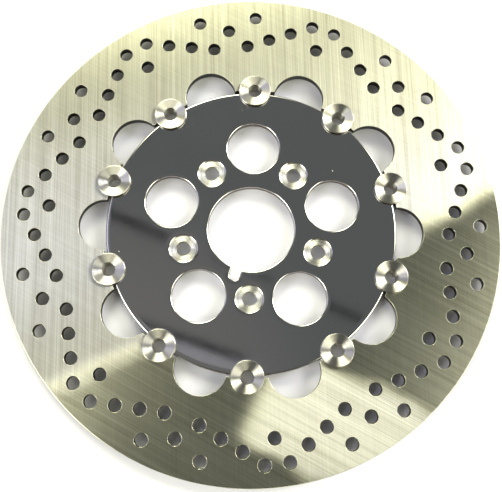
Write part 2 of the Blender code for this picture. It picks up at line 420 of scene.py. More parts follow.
@dataclass
class Edges:
    """The round edges that bound a flat plate.

    An edge is a circle, or a stadium where its two centres differ. The plate is what lies on the
    metal side of every edge, so its distance to the nearest edge is the least of the distances to
    each, and each of those is known exactly.
    """

    start: list[Array] = field(default_factory=list)
    end: list[Array] = field(default_factory=list)
    radius: list[float] = field(default_factory=list)
    side: list[float] = field(default_factory=list)
    softening: list[Softening] = field(default_factory=list)

    def add(
        self,
        centres: Array,
        radius: float,
        softening: Softening,
        side: Side = Side.OUTSIDE,
        ends: Array | None = None,
    ) -> list[int]:
        """Add edges of one kind.

        Args:
            centres: (n, 2) centres.
            radius: Their radius.
            softening: How the face falls away towards them.
            side: Where the metal lies.
            ends: Second centres, for stadiums.

        Returns:
            The numbers of the new edges.
        """
        first = len(self.radius)
        count = len(centres)
        self.start.extend(centres)
        self.end.extend(centres if ends is None else ends)
        self.radius.extend([radius] * count)
        self.side.extend([side.value] * count)
        self.softening.extend([softening] * count)
        return list(range(first, first + count))

    def nearest(self, points: Array) -> tuple[Array, Array, Array]:
        """Find the nearest edge of each point.

        Args:
            points: (n, 2) places on the plate.

        Returns:
            The distance to it, the unit direction from it into the metal, and its number.
        """
        start, end = np.array(self.start), np.array(self.end)
        radius, side = np.array(self.radius), np.array(self.side)
        span = end - start
        length = np.maximum((span**2).sum(axis=1), ON_EDGE**2)
        from_start = points[:, None, :] - start
        share = np.clip((from_start * span).sum(axis=-1) / length, 0.0, 1.0)
        arm = from_start - share[..., None] * span
        reach = np.linalg.norm(arm, axis=-1)
        distances = side * (reach - radius)
        index = distances.argmin(axis=1)
        rows = np.arange(len(points))
        direction = arm[rows, index] / reach[rows, index][:, None] * side[index][:, None]
        return distances[rows, index], direction, index

    def surface(self, points: Array) -> tuple[Array, Array]:
        """Work out how the face lies at each point.

        Within the rounding the face follows a quarter circle, and within the roll it also sinks
        with the square of the remaining distance. The normal leans towards the edge by the slope.
        The quarter circle is upright at the edge, so places all but on the edge count as on it.

        Args:
            points: (n, 2) places on the plate.

        Returns:
            The drop below the flat face, and unit normals with +Z out of the face.
        """
        distance, direction, index = self.nearest(points)
        distance = np.where(distance < ON_EDGE, 0.0, distance)
        rounding = np.array([s.rounding for s in self.softening])[index]
        depth = np.array([s.roll_depth for s in self.softening])[index]
        width = np.array([s.roll_width for s in self.softening])[index]
        inward = np.clip(rounding - distance, 0.0, None)
        rise = np.sqrt(np.maximum(rounding**2 - inward**2, 0.0))
        rest = np.clip(1.0 - distance / width, 0.0, None)
        drop = np.where(inward > 0.0, rounding - rise, 0.0) + depth * rest**2
        roll_slope = 2.0 * depth / width * rest
        lean = np.where(inward > 0.0, inward + roll_slope * rise, roll_slope)
        upright = np.where(inward > 0.0, rise, 1.0)
        normals = np.column_stack([-direction * lean[:, None], upright])
        return drop, normals / np.linalg.norm(normals, axis=1)[:, None]

    def loop(self, number: int, offset: float, spacing: float) -> Array:
        """Give points along one edge, moved into the metal.

        A stadium's loop is its two half circles and its two straight sides.

        Args:
            number: The edge's number.
            offset: Distance into the metal.
            spacing: Wanted distance between points on the edge itself.

        Returns:
            (n, 2) points.
        """
        radius = self.radius[number]
        reach = radius + self.side[number] * offset
        eighth = 2.0 * np.pi * radius / spacing / LOOP_SYMMETRY
        steps = max(LEAST_LOOP_STEPS, int(round(eighth)) * LOOP_SYMMETRY)
        unit = polar(1.0, 360.0 * np.arange(steps) / steps)
        start, end = self.start[number], self.end[number]
        span = end - start
        if not span.any():
            return start + reach * unit
        along = span / np.linalg.norm(span)
        across = np.array([-along[1], along[0]])
        centre = np.where((unit @ along > 0.0)[:, None], end, start)
        rungs = max(LEAST_STRAIGHT_STEPS, int(np.linalg.norm(span) / spacing))
        straight = np.linspace(0.0, 1.0, rungs)[:, None]
        sides = [start + span * straight + sign * across * reach for sign in (-1.0, 1.0)]
        return np.concatenate([centre + reach * unit, *sides])

    def outline(self, numbers: list[int], spacing: float) -> Array:
        """Join edges that cross into one closed outline around the bore's axis.

        Args:
            numbers: The edges.
            spacing: Wanted distance between points.

        Returns:
            The points that bound the metal, sorted by their angle around the axis.
        """
        points = np.concatenate([self.loop(number, 0.0, spacing) for number in numbers])
        points = points[self.nearest(points)[0] > -ON_EDGE]
        return points[np.argsort(np.arctan2(points[:, 1], points[:, 0]))]


@dataclass
class Face:
    """One flat face of a plate, with its softened edges.

    Attributes:
        edges: The edges that bound it.
        outlines: Closed outlines of the metal, the outer one first.
        spacing: Distance between points along an edge.
        levels: Distances into the metal at which rows of points follow each edge.
        height: Height of its flat part.
    """

    edges: Edges
    outlines: list[Array]
    spacing: dict[int, float]
    levels: list[Array]
    height: float

    def triangles(self) -> tuple[Array, Array]:
        """Fill the face between its outlines.

        Rows of points follow every edge at each level, where no other edge is nearer, and a
        constrained Delaunay triangulation joins them.

        Returns:
            (n, 2) points and (m, 3) vertex numbers, counterclockwise.
        """
        rows = []
        for number, spacing in self.spacing.items():
            for level in self.levels[number][1:]:
                points = self.edges.loop(number, level, spacing)
                reach = level * ROW_MARGIN - ON_EDGE
                rows.append(points[self.edges.nearest(points)[0] > reach])
        sizes = np.cumsum([0] + [len(outline) for outline in self.outlines])
        bounds = [list(range(a, b)) for a, b in zip(sizes[:-1], sizes[1:])]
        points = np.concatenate(self.outlines + rows)
        result = delaunay_2d_cdt([Vector(p) for p in points], [], bounds, 0, ON_EDGE, True)
        places = np.array([tuple(p) for p in result[0]])
        faces = np.array([face for face, within in zip(result[2], result[5]) if within == [0]])
        a, b, c = (places[faces[:, k]] for k in range(3))
        area = np.cross(b - a, c - a)
        faces[area < 0.0] = faces[area < 0.0][:, ::-1]
        return places, faces


def add_face(shell: Shell, face: Face, up: bool) -> None:
    """Add a plate's front or back face to a shell.

    Args:
        shell: The shell.
        face: The face.
        up: True for the front face.
    """
    places, faces = face.triangles()
    drop, normals = face.edges.surface(places)
    sign = 1.0 if up else -1.0
    points = np.column_stack([places, face.height - sign * drop])
    shell.add(points, normals * [1.0, 1.0, sign], faces if up else faces[:, ::-1])


def add_wall(
    shell: Shell, front: Face, back: Face, outline: Array, slot: int, hole: bool
) -> None:
    """Add the upright wall between the front and the back face under one outline.

    Args:
        shell: The shell.
        front: The front face.
        back: The back face.
        outline: (n, 2) closed outline, the same on both, counterclockwise.
        slot: The wall's material number.
        hole: True where the metal is outside the outline.
    """
    count = len(outline)
    front_drop, normals = front.edges.surface(outline)
    back_drop = back.edges.surface(outline)[0]
    sideways = normals * [1.0, 1.0, 0.0]
    sideways /= np.linalg.norm(sideways, axis=1)[:, None]
    low = np.column_stack([outline, back.height + back_drop])
    high = np.column_stack([outline, front.height - front_drop])
    here = np.arange(count)
    there = (here + 1) % count
    faces = np.stack([here, there, there + count, here + count], axis=1)
    faces = faces[:, ::-1] if hole else faces
    shell.add(np.concatenate([low, high]), np.tile(sideways, (2, 1)), faces, slot)


def swept_round(rows: Array, spokes: Array) -> Array:
    """Carry rows of (radius, height) round an upright axis.

    Args:
        rows: (n, 2) radii and heights.
        spokes: (m, 2) unit directions from the axis.

    Returns:
        (n, m, 3) places: radius times each spoke, and the height.
    """
    height = np.broadcast_to(rows[:, None, 1:], (len(rows), len(spokes), 1))
    return np.concatenate([rows[:, None, :1] * spokes, height], axis=-1)


def flat_band(
    radii: tuple[float, float], heights: tuple[float, float], fillets: Array | float, steps: int = 4
) -> Profile:
    """Give the rounded rectangular section of a flat ring, from its outer top corner down.

    Args:
        radii: Inner and outer radius.
        heights: Lower and upper height.
        fillets: Rounding radius of all corners, or of each.
        steps: Points on each rounding, less one.

    Returns:
        The section.
    """
    (inner, outer), (low, high) = radii, heights
    corners = np.array([(outer, high), (outer, low), (inner, low), (inner, high)])
    return Profile(corners, np.full(len(corners), fillets), steps)


# ---------------------------------------------------------------------------------------------
# Finishes
# ---------------------------------------------------------------------------------------------


@dataclass(frozen=True)
class Grain:
    """A fractal noise.

    Attributes:
        scale: Cells in a metre.
        detail: Octaves.
        keep: Share that each octave keeps.
    """

    scale: float
    detail: float = 2.0
    keep: float = 0.5


@dataclass(frozen=True)
class Streak:
    """A noise drawn out into straight lines.

    Attributes:
        across: Lines in a metre.
        along: Breaks in a metre of a line.
        detail: Octaves.
        keep: Share that each octave keeps.
    """

    across: float
    along: float
    detail: float = 3.0
    keep: float = 0.65


@dataclass(frozen=True)
class Relief:
    """How deep a pattern is cut, in metres, and the share of that which shows."""

    depth: float
    share: float


class Graph:
    """A node graph of a material or of the room, built a node at a time."""

    def __init__(
        self, owner: bpy.types.Material | bpy.types.World, shader: str = "Principled BSDF"
    ) -> None:
        """Start on the graph of a material or of a world.

        Args:
            owner: What the graph belongs to.
            shader: Name of the node that the finished sockets go to.
        """
        owner.use_nodes = True
        self.owner = owner
        self.tree = owner.node_tree
        self.shader = self.tree.nodes[shader]

    def plug(self, value: object, socket: bpy.types.NodeSocket) -> None:
        """Link a socket to another, or set its plain value."""
        if isinstance(value, bpy.types.NodeSocket):
            self.tree.links.new(value, socket)
        else:
            socket.default_value = value

    def add(
        self, kind: str, inputs: dict[str | int, object] | None = None, **settings: object
    ) -> bpy.types.Node:
        """Add a node.

        Args:
            kind: The node's type, without its ShaderNode prefix.
            inputs: Values or sockets for its inputs, by name or number.
            **settings: Properties of the node.

        Returns:
            The node.
        """
        node = self.tree.nodes.new(f"ShaderNode{kind}")
        for key, value in settings.items():
            setattr(node, key, value)
        for key, value in (inputs or {}).items():
            self.plug(value, node.inputs[key])
        return node

    def set(self, **inputs: object) -> None:
        """Set or link the shader's inputs, with underscores for the spaces of their names."""
        for key, value in inputs.items():
            self.plug(value, self.shader.inputs[key.replace("_", " ")])

    def math(self, operation: str, *values: object) -> bpy.types.NodeSocket:
        """Work out a number from values or sockets."""
        return self.add("Math", dict(enumerate(values)), operation=operation).outputs[0]

    def vector(self, operation: str, *values: object) -> bpy.types.bpy_prop_collection:
        """Work out a vector or a number from vectors, and give the node's outputs."""
        return self.add("VectorMath", dict(enumerate(values)), operation=operation).outputs

    def blend(self, share: object, low: object, high: object) -> bpy.types.NodeSocket:
        """Go from one number to another by a share."""
        inputs = {0: share, 1: 0.0, 2: 1.0, 3: low, 4: high}
        return self.add("MapRange", inputs, clamp=True).outputs[0]

    def step(self, value: object, low: float, high: float) -> bpy.types.NodeSocket:
        """Turn a number into a share that goes smoothly from 0 at low to 1 at high."""
        inputs = {0: value, 1: low, 2: high, 3: 0.0, 4: 1.0}
        smooth = {"clamp": True, "interpolation_type": "SMOOTHSTEP"}
        return self.add("MapRange", inputs, **smooth).outputs[0]

    def tint(self, share: object, low: object, high: object) -> bpy.types.NodeSocket:
        """Go from one colour to another by a share."""
        node = self.add("Mix", data_type="RGBA", clamp_factor=True)
        slots = [socket for socket in node.inputs if socket.type == "RGBA"]
        for socket, colour in zip(slots, (low, high)):
            linked = isinstance(colour, bpy.types.NodeSocket)
            self.plug(colour if linked else (*colour, 1.0), socket)
        self.plug(share, node.inputs[0])
        return next(socket for socket in node.outputs if socket.type == "RGBA")

    def turn_towards(self, share: object, start: object, end: object) -> bpy.types.NodeSocket:
        """Go from one direction to another by a share."""
        node = self.add("Mix", data_type="VECTOR")
        slots = [socket for socket in node.inputs if socket.type == "VECTOR"][-2:]
        for socket, way in zip(slots, (start, end)):
            self.plug(way, socket)
        self.plug(share, node.inputs[0])
        return next(socket for socket in node.outputs if socket.type == "VECTOR")

    def in_world(self, way: object) -> bpy.types.NodeSocket:
        """Turn a direction on the piece into one in the world, as a tangent needs."""
        spaces = {"convert_from": "OBJECT", "convert_to": "WORLD"}
        return self.add("VectorTransform", {0: way}, vector_type="VECTOR", **spaces).outputs[0]

    def place(self) -> bpy.types.NodeSocket:
        """Give the place on the piece, in metres."""
        return self.add("TexCoord").outputs["Object"]

    def scaled(self, vector: object, scale: tuple[float, float, float]) -> bpy.types.NodeSocket:
        """Scale a vector along each axis."""
        return self.add("Mapping", {"Vector": vector, "Scale": scale}).outputs[0]

    def turned(self, vector: object, angle: float) -> bpy.types.NodeSocket:
        """Turn a vector so that what lies along an angle from +X, in degrees, comes to lie on X."""
        turn = (0.0, 0.0, np.radians(-angle))
        return self.add("Mapping", {"Vector": vector, "Rotation": turn}).outputs[0]

    def noise(self, vector: object, grain: Grain) -> bpy.types.NodeSocket:
        """Give a fractal noise from 0 to 1, read at a vector."""
        inputs = {"Vector": vector, "Scale": grain.scale, "Detail": grain.detail}
        return self.add("TexNoise", inputs | {"Roughness": grain.keep}).outputs[0]

    def streaks(self, vector: object, angle: float, streak: Streak) -> bpy.types.NodeSocket:
        """Give a noise from 0 to 1, drawn out into straight lines.

        Args:
            vector: Where to read it.
            angle: Direction of the lines from +X, in degrees.
            streak: Their spacing and their length.

        Returns:
            The noise.
        """
        scale = (streak.along, streak.across, streak.across)
        drawn = self.scaled(self.turned(vector, angle), scale)
        return self.noise(drawn, Grain(1.0, streak.detail, streak.keep))

    def bump(
        self, height: object, relief: Relief, under: bpy.types.NodeSocket | None = None
    ) -> bpy.types.NodeSocket:
        """Give a normal bent by a height from 0 to 1.

        Args:
            height: The height.
            relief: How deep it is.
            under: A normal to build on.

        Returns:
            The normal.
        """
        inputs = {"Height": height, "Distance": relief.depth, "Strength": relief.share}
        if under is not None:
            inputs["Normal"] = under
        return self.add("Bump", inputs).outputs[0]


def metal_graph(name: str) -> Graph:
    """Start the graph of a new material, fully metallic.

    Args:
        name: Name of the material.

    Returns:
        Its graph.
    """
    graph = Graph(bpy.data.materials.new(name))
    graph.set(Metallic=1.0)
    return graph


@dataclass(frozen=True)
class GroundSteel:
    """Stainless steel ground flat, with two crossing lays of fine lines.

    Attributes:
        colour: Colour of the clean metal.
        stain: Colour in the darkest lines.
        roughness: Its middle roughness.
        roughness_swing: How far clean and dark metal differ from that.
        anisotropy: How far highlights stretch across the lay.
        lays: Directions of the first and the second lay, in degrees.
        stretches: Directions in which the highlight stretches: on the first lay, on the second,
            and on the band.
        fine: Single grinding lines.
        broad: Groups of lines.
        cloud: Slow change of tone.
        broad_share: Share of the groups in the tone.
        cross_share: Share of the other lay's lines in the tone.
        cloud_share: Share of the slow change in the tone.
        contrast: Gain of the tone around its middle.
        edge_slope: Slope of the line between the lays.
        edge_height: Its height on the bore's axis.
        edge_fade: Half of the width over which one lay gives way to the other.
        edge_wander: How far noise moves the line and the sides of the band.
        wander: The noise that moves the line.
        band_along: Direction of the band, in degrees.
        band_middle: Its distance from the bore's axis.
        band_half_width: Half of its width.
        band_start: Where it starts, along its direction.
        band_fade_out: How far its sides fade outwards.
        band_fade_in: How far its sides fade inwards.
        band_start_fade: Half of the length over which it starts.
        band_wander: The noise that moves its sides.
        broad_relief: Depth of the groups.
        fine_relief: Depth of the single lines.
    """

    colour: Colour = (0.62, 0.62, 0.485)
    stain: Colour = (0.35, 0.335, 0.25)
    roughness: float = 0.3
    roughness_swing: float = 0.012
    anisotropy: float = 0.98
    lays: tuple[float, float] = (93.0, -27.0)
    stretches: tuple[float, float, float] = (14.0, 63.0, 34.0)
    fine: Streak = Streak(1700.0, 9.0, 2.5)
    broad: Streak = Streak(360.0, 3.5, 2.5)
    cloud: Grain = Grain(30.0, 4.0, 0.6)
    broad_share: float = 0.8
    cross_share: float = 0.4
    cloud_share: float = 0.4
    contrast: float = 1.7
    edge_slope: float = 0.5
    edge_height: float = -0.0325
    edge_fade: float = 0.012
    edge_wander: float = 0.02
    wander: Grain = Grain(14.0)
    band_along: float = -23.0
    band_middle: float = -0.084
    band_half_width: float = 0.03
    band_start: float = 0.042
    band_fade_out: float = 0.006
    band_fade_in: float = 0.008
    band_start_fade: float = 0.012
    band_wander: Grain = Grain(22.0)
    broad_relief: Relief = Relief(5e-6, 0.35)
    fine_relief: Relief = Relief(6e-7, 0.5)

    def make(self) -> bpy.types.Material:
        """Build the material.

        The first lay shows above a sloping line and the second below it, and the highlight
        stretches across whichever of them rules.

        Returns:
            The material.
        """
        graph = metal_graph("ground_steel")
        place = graph.place()
        second = self.second_lay(graph, place)
        fine = [graph.streaks(place, angle, self.fine) for angle in self.lays]
        ruling = graph.blend(second, *fine)
        crossing = graph.blend(second, *reversed(fine))
        groups = graph.blend(second, *(graph.streaks(place, a, self.broad) for a in self.lays))
        tone = graph.math("MULTIPLY_ADD", crossing, self.cross_share, ruling)
        tone = graph.math("MULTIPLY_ADD", groups, self.broad_share, tone)
        cloud = graph.noise(place, self.cloud)
        tone = graph.math("MULTIPLY_ADD", cloud, self.cloud_share, tone)
        gain = graph.math("MULTIPLY_ADD", tone, self.contrast, -self.contrast)
        shade = graph.blend(gain, 0.0, 1.0)
        graph.set(Base_Color=graph.tint(shade, self.stain, self.colour))
        rough, smooth = self.roughness + self.roughness_swing, self.roughness - self.roughness_swing
        graph.set(Roughness=graph.blend(shade, rough, smooth))
        graph.set(Anisotropic=self.anisotropy)
        graph.set(Tangent=self.tangent(graph, place, second))
        coarse = graph.bump(groups, self.broad_relief)
        graph.set(Normal=graph.bump(ruling, self.fine_relief, coarse))
        return graph.owner

    def second_lay(self, graph: Graph, place: bpy.types.NodeSocket) -> bpy.types.NodeSocket:
        """Mask what lies below the sloping line, where the second lay rules.

        Args:
            graph: The material's graph.
            place: The place on the ring.

        Returns:
            Share of the second lay.
        """
        spot = graph.add("SeparateXYZ", {0: place})
        height = graph.math("MULTIPLY_ADD", spot.outputs[0], -self.edge_slope, spot.outputs[1])
        wander = graph.noise(place, self.wander)
        edge = graph.math("MULTIPLY_ADD", wander, self.edge_wander, height)
        above, below = self.edge_height + self.edge_fade, self.edge_height - self.edge_fade
        return graph.step(edge, above, below)

    def band(self, graph: Graph, place: bpy.types.NodeSocket) -> bpy.types.NodeSocket:
        """Mask the one broad pass of the grinding wheel that lies at a steeper angle.

        The mask is a straight band: a range of the distance across it, times all that is past its
        start along it.

        Args:
            graph: The material's graph.
            place: The place on the ring.

        Returns:
            1 on the band, 0 away from it.
        """
        spot = graph.add("SeparateXYZ", {0: graph.turned(place, self.band_along)})
        swing = graph.math("SUBTRACT", graph.noise(place, self.band_wander), NOISE_MIDDLE)
        across = graph.math("SUBTRACT", spot.outputs[1], self.band_middle)
        away = graph.math("ABSOLUTE", across)
        away = graph.math("MULTIPLY_ADD", swing, self.edge_wander, away)
        outside = self.band_half_width + self.band_fade_out
        inside = graph.step(away, outside, self.band_half_width - self.band_fade_in)
        before = self.band_start - self.band_start_fade
        past = graph.step(spot.outputs[0], before, self.band_start + self.band_start_fade)
        return graph.math("MULTIPLY", inside, past)

    def tangent(
        self, graph: Graph, place: bpy.types.NodeSocket, second: bpy.types.NodeSocket
    ) -> bpy.types.NodeSocket:
        """Give the direction across the ruling lay, in the world.

        Args:
            graph: The material's graph.
            place: The place on the ring.
            second: Share of the second lay.

        Returns:
            The direction.
        """
        ways = [(*polar(1.0, angle), 0.0) for angle in self.stretches]
        way = graph.turn_towards(second, ways[0], ways[1])
        return graph.in_world(graph.turn_towards(self.band(graph, place), way, ways[2]))


@dataclass(frozen=True)
class CutSteel:
    """Drilled and milled walls: dull, with fine marks along the tool's way; the default near-black
    colour is partly the cut's dark scale and partly painted shade.
    """

    name: str = "cut_steel_and_painted_shade"
    # Near-black: partly the dark scale of the cut, partly painted shade for the walls and holes
    # that lie in shadow.
    colour: Colour = (0.06, 0.055, 0.052)
    roughness: float = 0.45
    smoother: float = 0.08
    rougher: float = 0.12
    dulling: float = 0.55
    marks: tuple[float, float, float] = (60.0, 60.0, 6000.0)
    mark_grain: Grain = Grain(1.0, 3.0, 0.6)
    patches: Grain = Grain(180.0, 3.0)
    patch_range: tuple[float, float] = (0.3, 0.75)
    relief: Relief = Relief(1e-5, 0.5)

    def make(self) -> bpy.types.Material:
        """Build the material: fine level lines, duller and browner in patches."""
        graph = metal_graph(self.name)
        place = graph.place()
        lines = graph.noise(graph.scaled(place, self.marks), self.mark_grain)
        patches = graph.step(graph.noise(place, self.patches), *self.patch_range)
        dull = tuple(self.dulling * part for part in self.colour)
        graph.set(Base_Color=graph.tint(patches, dull, self.colour))
        smooth, rough = self.roughness - self.smoother, self.roughness + self.rougher
        graph.set(Roughness=graph.blend(lines, smooth, rough))
        graph.set(Normal=graph.bump(lines, self.relief))
        return graph.owner


@dataclass(frozen=True)
class SpotFace:
    """A bolt's seat cut bright by a spinning tool, which leaves fine rings around the hole.

    Attributes:
        colour: Colour of the ridges.
        groove: Colour of the grooves.
        roughness: Its middle roughness.
        smoother: How much smoother the ridges are.
        rougher: How much rougher the grooves are.
        anisotropy: How far highlights fan out.
        rings: Rings in a millimetre.
        ring_detail: Octaves of the rings.
        ring_keep: Share that each octave keeps.
        chatter: Fine breaks in the rings.
        chatter_share: Their share in the tone.
        tone_range: Tones of the darkest grooves and of the brightest ridges.
        relief: Depth of the rings.
    """

    colour: Colour = (0.74, 0.73, 0.68)
    groove: Colour = (0.30, 0.29, 0.25)
    roughness: float = 0.38
    smoother: float = 0.03
    rougher: float = 0.06
    anisotropy: float = 0.9
    rings: float = 1.3
    ring_detail: float = 3.0
    ring_keep: float = 0.7
    chatter: Grain = Grain(900.0, 3.0, 0.6)
    chatter_share: float = 0.25
    tone_range: tuple[float, float] = (0.45, 0.75)
    relief: Relief = Relief(1e-5, 0.4)

    def make(self) -> bpy.types.Material:
        """Build the material: a noise of the tool's radius alone, so that it draws rings."""
        graph = metal_graph("spot_face")
        arm = graph.add("Attribute", attribute_name="sweep").outputs["Vector"]
        inputs = {"W": graph.vector("LENGTH", arm)["Value"], "Scale": self.rings}
        inputs |= {"Detail": self.ring_detail, "Roughness": self.ring_keep}
        ring = graph.add("TexNoise", inputs, noise_dimensions="1D").outputs[0]
        chatter = graph.noise(graph.place(), self.chatter)
        tone = graph.math("MULTIPLY_ADD", chatter, self.chatter_share, ring)
        shade = graph.step(tone, *self.tone_range)
        graph.set(Base_Color=graph.tint(shade, self.groove, self.colour))
        rough, smooth = self.roughness + self.rougher, self.roughness - self.smoother
        graph.set(Roughness=graph.blend(tone, rough, smooth), Anisotropic=self.anisotropy)
        graph.set(Tangent=graph.in_world(arm), Normal=graph.bump(ring, self.relief))
        return graph.owner


@dataclass(frozen=True)
class MirrorPolish:
    """Dark mirror polish with a faint orange peel, hairlines and a little dust.

    Attributes:
        colour: Colour of the metal.
        dust: Colour of a speck of dust.
        roughness: Its middle roughness.
        smoother: How much smoother the clearest places are.
        hazier: How much rougher the haziest places are.
        worn: How much rougher a hairline is.
        dust_roughness: Roughness of dust.
        dust_metallic: How metallic dust is.
        peel: Noise of the orange peel.
        relief: Depth of the peel.
        haze: Noise of the haze.
        hairlines: Two lays of hairlines, each with its direction in degrees. A hairline shows
            where they meet.
        hair_range: Where a hairline starts and is full.
        cells: Cells for dust in a metre.
        chosen: Share of the cells below which there is no dust, and above which it's full.
        speck: Distances from a cell's middle at which dust ends and is full.
    """

    colour: Colour = (0.56, 0.55, 0.535)
    dust: Colour = (0.62, 0.60, 0.55)
    roughness: float = 0.05
    smoother: float = 0.02
    hazier: float = 0.03
    worn: float = 0.12
    dust_roughness: float = 0.6
    dust_metallic: float = 0.25
    peel: Grain = Grain(70.0, 3.0, 0.55)
    relief: Relief = Relief(4e-5, 0.25)
    haze: Grain = Grain(45.0, 4.0, 0.6)
    hairlines: tuple[tuple[float, Streak], ...] = (
        (24.0, Streak(900.0, 12.0)),
        (108.0, Streak(700.0, 10.0)),
    )
    hair_range: tuple[float, float] = (0.34, 0.5)
    cells: float = 210.0
    chosen: tuple[float, float] = (0.93, 0.95)
    speck: tuple[float, float] = (0.075, 0.03)

    def make(self) -> bpy.types.Material:
        """Build the material.

        The peel is a slow bump, hairlines are thin streaks of roughness, and dust is the rare
        peaks of a cell pattern, pale and hardly metallic.

        Returns:
            The material.
        """
        graph = metal_graph("mirror_polish")
        place = graph.place()
        lays = [graph.streaks(place, angle, streak) for angle, streak in self.hairlines]
        hair = graph.step(graph.math("MULTIPLY", *lays), *self.hair_range)
        haze = graph.noise(place, self.haze)
        cells = graph.add("TexVoronoi", {"Vector": place, "Scale": self.cells, "Randomness": 1.0})
        number = graph.add("SeparateColor", {0: cells.outputs["Color"]}).outputs[0]
        spot = graph.step(cells.outputs["Distance"], *self.speck)
        speck = graph.math("MULTIPLY", spot, graph.step(number, *self.chosen))
        graph.set(Base_Color=graph.tint(speck, self.colour, self.dust))
        graph.set(Metallic=graph.blend(speck, 1.0, self.dust_metallic))
        smooth, hazy = self.roughness - self.smoother, self.roughness + self.hazier
        clean = graph.blend(haze, smooth, hazy)
        worn = graph.blend(hair, clean, self.roughness + self.worn)
        graph.set(Roughness=graph.blend(speck, worn, self.dust_roughness))
        graph.set(Normal=graph.bump(graph.noise(place, self.peel), self.relief))
        return graph.owner


@dataclass(frozen=True)
class TurnedMetal:
    """Metal turned on a lathe, whose highlight fans out across the grooves.

    Attributes:
        name: Name of the material.
        colour: Colour of the ridges.
        shade: Colour of the grooves.
        roughness: Its middle roughness.
        smoother: How much smoother the grooves are.
        rougher: How much rougher the ridges are.
        anisotropy: How far highlights stretch.
        quarter_turn: Turn of the highlight from the way round to the way across, in whole turns.
        grooves: Grooves in a millimetre of the profile.
        groove_grain: Noise of the single grooves.
        band_grain: Noise of the bands that they lie in.
        bands: Grooves in a band.
        groove_share: Share of the single grooves in the tone.
        tone_range: Tones of the darkest and of the brightest grooves.
        relief: Depth of the grooves.
    """

    name: str = "turned_steel"
    colour: Colour = (0.52, 0.51, 0.475)
    shade: Colour = (0.42, 0.405, 0.37)
    roughness: float = 0.29
    smoother: float = 0.03
    rougher: float = 0.04
    anisotropy: float = 1.0
    quarter_turn: float = 0.25
    grooves: float = 9.0
    groove_grain: Grain = Grain(1.0, 3.0, 0.7)
    band_grain: Grain = Grain(1.0, 2.0, 0.6)
    bands: float = 4.0
    groove_share: float = 0.5
    tone_range: tuple[float, float] = (0.55, 1.0)
    relief: Relief = Relief(2e-6, 0.2)

    def make(self) -> bpy.types.Material:
        """Build the material.

        The piece's own map runs round the axis and along the profile, so grooves are a noise that
        changes along the profile only, and the tangent follows the map.

        Returns:
            The material.
        """
        graph = metal_graph(self.name)
        lay = graph.add("UVMap", uv_map="lay").outputs[0]
        fine = graph.scaled(lay, (0.0, self.grooves, 1.0))
        coarse = graph.scaled(lay, (0.0, self.grooves / self.bands, 1.0))
        groove = graph.noise(fine, self.groove_grain)
        band = graph.noise(coarse, self.band_grain)
        tone = graph.math("MULTIPLY_ADD", groove, self.groove_share, band)
        ridge = graph.step(tone, *self.tone_range)
        graph.set(Base_Color=graph.tint(ridge, self.shade, self.colour))
        smooth, rough = self.roughness - self.smoother, self.roughness + self.rougher
        graph.set(Roughness=graph.blend(tone, smooth, rough))
        graph.set(Anisotropic=self.anisotropy, Anisotropic_Rotation=self.quarter_turn)
        tangent = graph.add("Tangent", direction_type="UV_MAP", uv_map="lay").outputs[0]
        graph.set(Tangent=tangent, Normal=graph.bump(groove, self.relief))
        return graph.owner


@dataclass(frozen=True)
class Treated:
    """Small hardware with a thin treated skin, tempered or phosphated."""

    name: str
    colour: Colour
    worn: Colour
    roughness: float
    smoother: float = 0.1
    rougher: float = 0.12
    mottle: Grain = Grain(1400.0, 4.0, 0.65)
    rubbed: Grain = Grain(260.0, 3.0, 0.6)
    rub_range: tuple[float, float] = (0.5, 0.72)
    relief: Relief = Relief(2e-5, 0.4)

    def make(self) -> bpy.types.Material:
        """Build the material: a mottled skin, rubbed brighter in patches."""
        graph = metal_graph(self.name)
        place = graph.place()
        mottle = graph.noise(place, self.mottle)
        rub = graph.step(graph.noise(place, self.rubbed), *self.rub_range)
        graph.set(Base_Color=graph.tint(rub, self.colour, self.worn))
        smooth, rough = self.roughness - self.smoother, self.roughness + self.rougher
        graph.set(Roughness=graph.blend(mottle, smooth, rough))
        graph.set(Normal=graph.bump(mottle, self.relief))
        return graph.owner


# ---------------------------------------------------------------------------------------------
# The ring, the carrier and the button sets
# ---------------------------------------------------------------------------------------------


